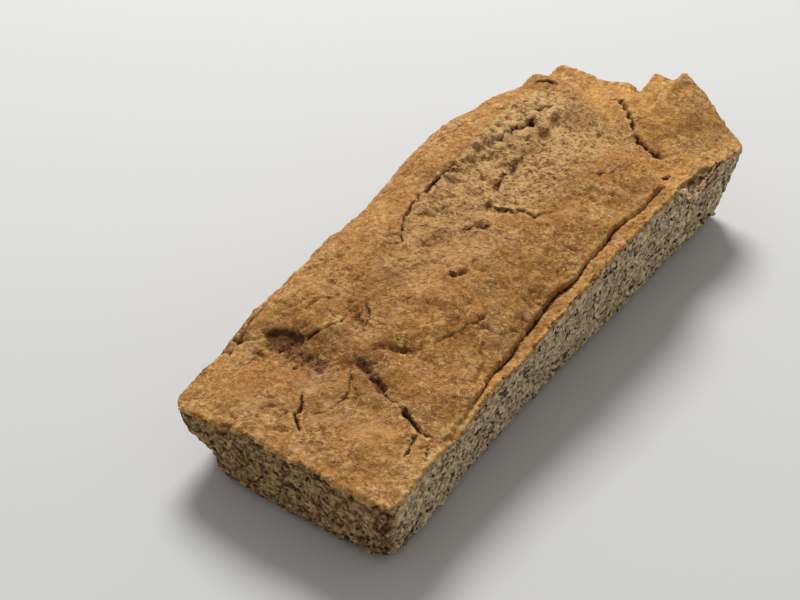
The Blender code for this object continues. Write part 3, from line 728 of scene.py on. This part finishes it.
def makeCrumbBody(material):
    bm = gridBlock(crumbMesh["rows"], crumbMesh["columns"])
    flatCap(bm, -1.0)
    flatCap(bm, 1.0)
    cutAlong(bm, 2, crumbMesh["levels"])
    across, along, up = readPoints(bm).T
    x, y, outX, outY = placeOnLevel(across, along, 0.0, evenColumns)[:4]
    rim = baseHeight(x, y) - topForm["bandDepth"] * bandShare(x, y) - shoulderRadius(x, y)
    levels = crumbMesh["levels"]
    level = (up + 1.0) / 2.0 * levels
    cap = level > levels - 0.5
    beside = besideTornSide(y, outX)
    height = (rim + 1.0 + beside) * np.clip(level / (levels - 1), 0, 1) ** crumbMesh["levelPower"]
    below = np.minimum(height, rim)
    inset = wallInset(x, y, outX, below, rim, leftBulge(y, outX)) + crumbMesh["inset"]
    inset = np.where(cap, crumbMesh["capInset"], inset)
    farLean = loafForm["farLean"] * (1.0 - below / rim)
    wallX, wallY = placeOnLevel(across, along, inset, evenColumns, farLean)[:2]
    points = np.stack([wallX, wallY, np.where(cap, crumbMesh["capHeight"], height)], 1)
    writePoints(bm, points)
    normals = vertexNormals(bm)
    # the foot is pushed level, so that the flat underside stays flat
    foot = 1.0 - ramp(height, 0.0, loafForm["footRadius"])
    out = np.stack([outX, outY, np.zeros(len(x))], 1)
    way = normals * (1 - foot)[:, None] + out * foot[:, None]
    visible = np.where(cap, 0.0, ramp(height, 0.3, 2.5))
    push = layered(points, crumbRelief["walls"])
    push = push + (1.0 - ramp(height, 2.0, 11.0)) * layered(points, crumbRelief["foot"])
    push = mixed(push, -0.3, ramp(height, rim - 3.0, rim - 0.5) * (1.0 - beside))
    points = points + way * (push * visible)[:, None]
    points[:, 2] = np.maximum(points[:, 2], 0.0)
    points, pores = carvePores(points, way, visible, crumbRelief["pores"])
    writePoints(bm, points)
    # the ends and the left wall take the darker, browner end colours: painted shade on the near end; on the lit left
    # and far walls partly their tan tone, partly painted shade against the key light
    ends = 0.7 * np.maximum(np.maximum(0.0, outY), np.maximum(0.0, -outX))
    toasted = np.maximum(ramp(height, rim - 4.0, rim + 0.5), 0.6 * ramp(-height, -6.0, -1.0))
    toasted = np.maximum(toasted, mound(np.hypot(x - 58, y + 150), 0.0, 5.0)) * (1.0 - beside)
    browned = ramp(outX, 0.3, 0.7) * mound(y, 120, 11) * ramp(height, rim - 5.0, rim - 1.0)
    attributes = {"pore": pores, "end": np.maximum(np.maximum(0.0, -outY), ends),
                  "toast": np.maximum(toasted, browned)}
    return finishPiece(bm, "crumbBody", attributes, material)


# Shader maths: a socket with Python's operators
class Sock:
    def __init__(self, shader, output):
        self.shader, self.output = shader, output

    def maths(self, operation, *others):
        return self.shader.node("ShaderNodeMath", {"operation": operation}, [self, *others])

    def __add__(self, other):
        return self.maths("ADD", other)

    __radd__ = __add__

    def __mul__(self, other):
        return self.maths("MULTIPLY", other)

    __rmul__ = __mul__

    def __sub__(self, other):
        return self.maths("SUBTRACT", other)

    def __rsub__(self, other):
        return self.shader.node("ShaderNodeMath", {"operation": "SUBTRACT"}, [other, self])

    def stroke(self, width):   # thin wandering lines where the value crosses its middle
        return 1.0 - (self - 0.5).maths("ABSOLUTE").ranged(0.25 * width, width)

    def clamped(self):
        return self.shader.node("ShaderNodeClamp", {}, {"Value": self})

    def ranged(self, low, high, newLow=0.0, newHigh=1.0):   # a soft step between low and high
        return self.shader.node("ShaderNodeMapRange", {"interpolation_type": "SMOOTHSTEP"},
                                {"Value": self, "From Min": low, "From Max": high, "To Min": newLow,
                                 "To Max": newHigh})


class Shader:
    def __init__(self, name):
        self.material = bpy.data.materials.new(name)
        self.material.use_nodes = True
        self.tree = self.material.node_tree
        self.surface = self.tree.nodes["Principled BSDF"]

    def node(self, kind, settings, values, output=0):
        made = self.tree.nodes.new(kind)
        for label, value in settings.items():
            setattr(made, label, value)
        pairs = enumerate(values) if isinstance(values, list) else values.items()
        for label, value in pairs:
            self.feed(made.inputs[label], value)
        return Sock(self, made.outputs[output])

    def feed(self, socket, value):
        if isinstance(value, Sock):
            self.tree.links.new(value.output, socket)
        else:
            socket.default_value = value

    def noise(self, place, size, detail=3.0, rough=0.55, twist=0.0):
        return self.node("ShaderNodeTexNoise", {}, {"Vector": place, "Scale": 1.0 / size, "Detail": detail,
                                                    "Roughness": rough, "Distortion": twist})

    def cells(self, place, size, output="Distance", feature="F1"):
        return self.node("ShaderNodeTexVoronoi", {"feature": feature}, {"Vector": place, "Scale": 1.0 / size},
                         output)

    def blend(self, first, second, share, kind="MIX"):
        mix = self.tree.nodes.new("ShaderNodeMix")
        mix.data_type, mix.blend_type = "RGBA", kind
        for socket, value in ((mix.inputs[0], share), (mix.inputs[6], first), (mix.inputs[7], second)):
            self.feed(socket, value)
        return Sock(self, mix.outputs[2])

    def over(self, colour, layers):   # each layer is a colour and its share
        for tone, share in layers:
            colour = self.blend(colour, tone, share.clamped())
        return colour

    def attribute(self, name):
        return self.node("ShaderNodeAttribute", {"attribute_name": name}, {}, "Fac")

    def millimetres(self):
        place = self.node("ShaderNodeTexCoord", {}, {}, "Object")
        return self.node("ShaderNodeVectorMath", {"operation": "SCALE"}, {0: place, "Scale": 1.0 / metres})

    def warped(self, place, size, amount):   # the same coordinates, pushed about by noise
        push = self.node("ShaderNodeTexNoise", {}, {"Vector": place, "Scale": 1.0 / size, "Detail": 2.0}, "Color")
        centred = self.node("ShaderNodeVectorMath", {"operation": "SUBTRACT"}, {0: push, 1: (0.5, 0.5, 0.5)})
        scaled = self.node("ShaderNodeVectorMath", {"operation": "SCALE"}, {0: centred, "Scale": amount})
        return self.node("ShaderNodeVectorMath", {"operation": "ADD"}, {0: place, 1: scaled})

    def finish(self, colour, roughness, height, distance):
        bump = self.node("ShaderNodeBump", {}, {"Strength": 1.0, "Distance": distance * metres, "Height": height})
        self.feed(self.surface.inputs["Base Color"], colour)
        self.feed(self.surface.inputs["Roughness"], roughness)
        self.feed(self.surface.inputs["Normal"], bump)
        return self.material


crustLook = {   # linear colours
    # the darkest two colours here are painted shade for pits, pores and cracks; the bright gold is partly a painted
    # highlight
    "golden": (0.47, 0.222, 0.055, 1), "tan": (0.37, 0.158, 0.039, 1), "redBrown": (0.25, 0.092, 0.020, 1),
    "fleckAndLipHighlight": (0.84, 0.54, 0.21, 1), "speck": (0.17, 0.055, 0.010, 1), "deep": (0.06, 0.018, 0.006, 1),
    "pitShade": (0.13, 0.048, 0.016, 1), "cream": (0.68, 0.41, 0.155, 1), "puffAndRimHighlight": (0.80, 0.545, 0.26, 1),
    "ashen": (0.52, 0.295, 0.15, 1), "yellow": (0.60, 0.34, 0.08, 1), "brightGoldAndHighlight": (0.74, 0.395, 0.115, 1),
    "roughness": 0.75, "specular": 0.14, "bump": 0.85,
}

crustPattern = {   # the size of each pattern in millimetres
    "patches": 22.0, "blush": 13.0, "rough": 12.0, "yellowed": 9.0, "mottle": 7.0, "goldAndPaintedLight": 4.5, "ashen": 5.0,
    "smallMottle": 3.4, "cuts": 3.4, "strokes": 3.2, "strokeWhere": 3.1, "wavy": 2.1, "granules": 1.9, "grit": 1.7,
    "crumb": 1.7, "jag": 1.4, "wideJag": 4.0, "fine": 0.9,
}

crumbLook = {
    # the pore colours are painted shade inside the crumb's holes; the end colours are painted shade for the ends
    "pale": (0.70, 0.475, 0.22, 1), "mid": (0.46, 0.262, 0.108, 1), "pore": (0.13, 0.05, 0.016, 1),
    "wallPale": (0.98, 0.76, 0.48, 1), "wallMid": (0.36, 0.25, 0.14, 1), "wallPore": (0.07, 0.037, 0.018, 1),
    "endPaleShaded": (0.63, 0.415, 0.195, 1), "endMidShaded": (0.15, 0.082, 0.030, 1), "toast": (0.40, 0.20, 0.065, 1),
    "sidePale": (0.72, 0.51, 0.29, 1), "sideMid": (0.40, 0.245, 0.13, 1), "sidePore": (0.13, 0.05, 0.03, 1),
    "cavePale": (0.39, 0.18, 0.062, 1), "caveMid": (0.24, 0.092, 0.027, 1), "cavePore": (0.075, 0.025, 0.009, 1),
    "sets": (("pale", "sidePale", "cavePale"), ("mid", "sideMid", "caveMid"), ("pore", "sidePore", "cavePore")),
    "roughness": 0.88, "specular": 0.1, "bump": 1.0,
}


def crumbColour(shader, place, size, pale, mid, darkShade, pores):   # grains and puffs, with torn and round holes
    twisted = shader.warped(place, 1.8 * size, 1.3 * size)
    grain = shader.noise(twisted, 1.4 * size, 2.0, 0.5).ranged(0.38, 0.60)
    puffs = 1.0 - shader.cells(shader.warped(place, size, 0.5 * size), 1.2 * size).ranged(0.30, 0.62)
    cloud = shader.noise(place, 9.0, 3.0).ranged(0.3, 0.7)
    colour = shader.blend(mid, pale, (grain * 0.5 + puffs * 0.4 + cloud * 0.25 - 0.05).clamped())
    small = shader.noise(shader.warped(place, 2.4 * size, size), 1.2 * size, 1.0, 0.5).ranged(0.60, 0.64)
    larger = shader.noise(shader.warped(place, 4.0 * size, 1.4 * size), 2.2 * size, 2.0, 0.5).ranged(0.61, 0.645)
    rounded = 1.0 - shader.cells(shader.warped(place, 1.6 * size, 0.9 * size), 2.1 * size).ranged(0.15, 0.27)
    here = shader.noise(place, 3.0 * size, 1.0).ranged(0.46, 0.54)
    # the holes and pores are painted dark: painted shade inside the crumb's holes
    holes = (small * 0.6 + larger * 0.85 + rounded * here * 0.9).clamped()
    return shader.blend(colour, darkShade, (holes * 0.95 + pores * 0.75).clamped()), holes


def makeCrustMaterial():
    shader, look, size = Shader("crustGolden"), crustLook, crustPattern
    place = shader.millimetres()
    bare, darkShade, red, pore = (shader.attribute(name) for name in ("bare", "darkShade", "red", "pore"))
    goldAndPaintedLight, side, crumbs, crease = (shader.attribute(name) for name in ("goldAndPaintedLight", "side", "fleckAndLipHighlight", "crease"))
    split, splitShade, dent, puffAndRimHighlight = (shader.attribute(name) for name in ("split", "splitShade", "dent", "puffAndRimHighlight"))
    hollow, ashen = shader.attribute("hollow"), shader.attribute("ashen")
    # the skin: large patches, then mottling, then grit, strokes and small cuts
    patches = shader.noise(place, size["patches"], 3.0, 0.6).ranged(0.38, 0.62)
    # this share is the ledge's golden tone with its painted highlight, and the far plate's painted light
    goldAndLightShare = goldAndPaintedLight * shader.noise(place, size["goldAndPaintedLight"], 3.0, 0.6).ranged(0.36, 0.60, 0.15, 1.0)
    ashenShare = ashen * shader.noise(place, size["ashen"], 2.0).ranged(0.35, 0.6)
    blush = shader.noise(shader.warped(place, 9.0, 5.0), size["blush"], 2.0).ranged(0.50, 0.64)
    yellowed = shader.noise(shader.warped(place, 6.0, 4.0), size["yellowed"], 2.0).ranged(0.56, 0.66)
    mottle = shader.noise(place, size["mottle"], 4.0, 0.65, 0.6).ranged(0.46, 0.66)
    smallMottle = shader.noise(shader.warped(place, 4.0, 2.0), size["smallMottle"], 1.5, 0.5).ranged(0.50, 0.66)
    # the wrinkles' share adds painted shade in their grooves to the red-brown
    reddish = (mottle * 0.4 + smallMottle * 0.3 + red * 0.85 + crease * 0.45).clamped()
    rough = shader.noise(place, size["rough"], 3.0, 0.6).ranged(0.40, 0.58, 0.2, 1.0)
    wavy = shader.noise(shader.warped(place, 3.0, 1.8), size["wavy"], 2.0, 0.55)
    grit = shader.noise(shader.warped(place, 2.4, 1.6), size["grit"], 1.0)
    strokes = shader.noise(shader.warped(place, 3.0, 2.5), size["strokes"], 1.0, 0.5).stroke(0.07)
    lightStrokes = strokes * shader.noise(place, size["strokeWhere"], 2.0).ranged(0.46, 0.60)
    cuts = shader.noise(shader.warped(place, 3.0, 3.0), size["cuts"], 1.0, 0.5).stroke(0.09)
    specks = cuts * shader.noise(place, size["cuts"], 2.0).ranged(0.50, 0.62)
    # the crumb of the band, of the torn side and of the hollows, in colours of their own
    inHollow = hollow.ranged(0.15, 0.6)
    tones = [shader.blend(shader.blend(crumbLook[first], crumbLook[beside], side), crumbLook[below], inHollow)
             for first, beside, below in crumbLook["sets"]]
    # the pits and dents are painted dark through these: painted shade in the holes
    pores = (pore * (1.0 - side * 0.6) + dent * inHollow).clamped()
    crumb, holes = crumbColour(shader, place, size["crumb"], *tones, pores)
    # a crisp dark line along each split: painted shade in its narrow gap
    jag = (shader.noise(place, size["jag"], 2.0) - 0.5) * 2.2
    edge = split + jag + (shader.noise(place, size["wideJag"], 1.0) - 0.5) * 1.4
    line = (1.0 - edge.maths("ABSOLUTE").ranged(0.55, 1.05)) * splitShade
    colour = shader.over(shader.blend(look["tan"], look["golden"], patches), (
        (look["brightGoldAndHighlight"], goldAndLightShare * 0.85), (look["ashen"], ashenShare * 0.8), (look["ashen"], blush * 0.45),
        (look["yellow"], yellowed * 0.35), (look["redBrown"], reddish * (1.0 - goldAndLightShare * 0.6)),
        (look["cream"], grit.ranged(0.57, 0.62) * 0.3), (look["redBrown"], (1.0 - grit).ranged(0.58, 0.63) * 0.42),
        (look["cream"], wavy.ranged(0.50, 0.60) * rough * 0.44),
        (look["redBrown"], (1.0 - wavy).ranged(0.53, 0.62) * rough * 0.5),
        # the fleck colour serves pale crumbs and flakes, and the painted highlight on the lips
        (look["fleckAndLipHighlight"], lightStrokes * rough * 0.4 + crumbs * 0.65), (look["speck"], specks * rough * 0.55),
        (crumb, bare * 0.66 + side * 0.36 + inHollow), (look["redBrown"], red * bare * 0.5),
        # the puff colour also carries the left rim's painted highlight; the dark red-brown here is painted shade in
        # pits, pores and cracks
        (look["puffAndRimHighlight"], puffAndRimHighlight * (1.0 - inHollow) * 0.5), (look["pitShade"], pore * red * 0.8 + dent * 0.7 + darkShade * 0.5),
        (look["deep"], line * 0.95),
    ))
    fine = shader.noise(shader.warped(place, 2.0, 1.5), size["fine"], 3.0, 0.6)
    granules = shader.cells(shader.warped(place, 2.5, 1.5), size["granules"], feature="SMOOTH_F1")
    height = fine * 0.5 + lightStrokes * 0.35 - granules * 0.3 - holes * bare * 1.2 - specks * 0.5
    roughness = (look["roughness"] + bare * 0.14 + fine * 0.1 - 0.05).clamped()
    shader.surface.inputs["Specular IOR Level"].default_value = look["specular"]
    return shader.finish(colour, roughness, height, look["bump"])


def makeCrumbMaterial():
    shader = Shader("crumbGrey")
    place = shader.millimetres()
    pore, end, toast = (shader.attribute(name) for name in ("pore", "end", "toast"))
    # the ends' darker colours are painted shade, set against the right wall's paler colour
    pale = shader.blend(crumbLook["wallPale"], crumbLook["endPaleShaded"], end)
    mid = shader.blend(crumbLook["wallMid"], crumbLook["endMidShaded"], end)
    colour, holes = crumbColour(shader, place, 2.0, pale, mid, crumbLook["wallPore"], pore)
    browned = toast * shader.noise(place, 5.0, 3.0).ranged(0.35, 0.6, 0.2, 0.8)
    colour = shader.blend(colour, crumbLook["toast"], browned.clamped(), "MULTIPLY")
    fine = shader.noise(shader.warped(place, 1.5, 1.0), 0.9, 3.0, 0.6)
    granules = shader.cells(shader.warped(place, 2.0, 1.2), 1.4, feature="SMOOTH_F1")
    height = fine * 0.8 - granules * 0.8 - holes * 1.3
    shader.surface.inputs["Specular IOR Level"].default_value = crumbLook["specular"]
    return shader.finish(colour, (crumbLook["roughness"] + fine * 0.08).clamped(), height, crumbLook["bump"])


clinging = {   # heights in metres, radii in millimetres
    "count": 150, "smallest": 0.5, "largest": 1.5, "sunk": 0.35, "seed": 12,
    "foot": (0.0005, 0.009, 0.5), "rim": (0.034, 0.06, 0.6), "uneven": 0.35,
}


def makeClingingCrumbs(body, material):   # crumbs that stick to the foot of the walls and below the crust
    chooser = random.Random(clinging["seed"])
    bodyMesh = body.data
    lowest, highest, upright = clinging["foot"]
    low = [v.index for v in bodyMesh.vertices if lowest < v.co.z < highest and v.normal.z < upright]
    lowest, highest, upright = clinging["rim"]
    high = [v.index for v in bodyMesh.vertices if lowest < v.co.z < highest and abs(v.normal.z) < upright]
    bm = bmesh.new()
    for number in range(clinging["count"]):
        index = chooser.choice(low if number % 4 else high)
        vert = bodyMesh.vertices[index]
        radius = mixed(clinging["smallest"], clinging["largest"], chooser.random() ** 2)
        centre = Vector(vert.co) / metres + Vector(vert.normal) * radius * (1 - 2 * clinging["sunk"])
        centre.z = max(centre.z, 0.75 * radius)
        made = bmesh.ops.create_icosphere(bm, subdivisions=2, radius=radius)["verts"]
        stretch = Vector((chooser.uniform(0.7, 1.3), chooser.uniform(0.7, 1.3), chooser.uniform(0.6, 1.0)))
        bmesh.ops.scale(bm, vec=stretch, verts=made)
        for point in made:
            point.co *= 1.0 + clinging["uneven"] * noise.noise(point.co / radius * 1.4 + Vector((number, 0, 0)))
            point.co.z = max(point.co.z, 0.02 - centre.z)
        bmesh.ops.translate(bm, vec=centre, verts=made)
    size = len(bm.verts)
    # the clinging crumbs take part of the ends' painted shade
    attributes = {"pore": np.zeros(size), "end": np.full(size, 0.35), "toast": np.full(size, 0.4)}
    return finishPiece(bm, "clingingCrumbs", attributes, material)


studio = {
    "floor": (0.60, 0.598, 0.59, 1), "world": (1.0, 1.0, 1.0, 1), "worldStrength": 0.39,
    "keyPlace": (-0.75, 0.85, 1.45), "keyTarget": (0.0, 0.0, 0.02), "keySize": 0.8, "keyWatts": 33.5,
}


def makeStudio():
    bm = bmesh.new()
    bmesh.ops.create_grid(bm, x_segments=1, y_segments=1, size=4.0)
    mesh = bpy.data.meshes.new("floor")
    bm.to_mesh(mesh)
    bm.free()
    floor = bpy.data.objects.new("floor", mesh)
    bpy.context.scene.collection.objects.link(floor)
    shader = Shader("floorPale")
    shader.surface.inputs["Base Color"].default_value = studio["floor"]
    shader.surface.inputs["Roughness"].default_value = 0.9
    mesh.materials.append(shader.material)
    world = bpy.data.worlds.new("studio")
    world.use_nodes = True
    world.node_tree.nodes["Background"].inputs["Color"].default_value = studio["world"]
    world.node_tree.nodes["Background"].inputs["Strength"].default_value = studio["worldStrength"]
    bpy.context.scene.world = world
    lamp = bpy.data.lights.new("key", "AREA")
    lamp.shape, lamp.size, lamp.energy = "DISK", studio["keySize"], studio["keyWatts"]
    key = bpy.data.objects.new("key", lamp)
    bpy.context.scene.collection.objects.link(key)
    key.location = studio["keyPlace"]
    way = Vector(studio["keyTarget"]) - Vector(studio["keyPlace"])
    key.rotation_mode = "QUATERNION"
    key.rotation_quaternion = way.to_track_quat("-Z", "Y")
    bpy.context.scene.view_settings.view_transform = "Standard"


photoCamera = {"place": (0.42141, -0.64381, 0.69257), "turn": -35.967, "down": 41.177, "lens": 97.818}


def makeCamera():
    data = bpy.data.cameras.new("camera")
    data.lens, data.sensor_width = photoCamera["lens"], 36.0
    camera = bpy.data.objects.new("camera", data)
    bpy.context.scene.collection.objects.link(camera)
    turn, down = math.radians(photoCamera["turn"]), math.radians(photoCamera["down"])
    way = Vector((math.sin(turn) * math.cos(down), math.cos(turn) * math.cos(down), -math.sin(down)))
    camera.location = photoCamera["place"]
    camera.rotation_mode = "QUATERNION"
    camera.rotation_quaternion = way.to_track_quat("-Z", "Y")
    data.dof.use_dof = False
    bpy.context.scene.camera = camera


print("materials")
crustMaterial, crumbMaterial = makeCrustMaterial(), makeCrumbMaterial()
print("top crust")
topCrust = makeTopCrust(crustMaterial)
print("crumb body")
crumbBody = makeCrumbBody(crumbMaterial)
print("clinging crumbs")
clingingCrumbs = makeClingingCrumbs(crumbBody, crumbMaterial)
for piece in (topCrust, crumbBody, clingingCrumbs):
    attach(piece, "root")
    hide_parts("loaf")
print("studio and camera")
makeStudio()
makeCamera()
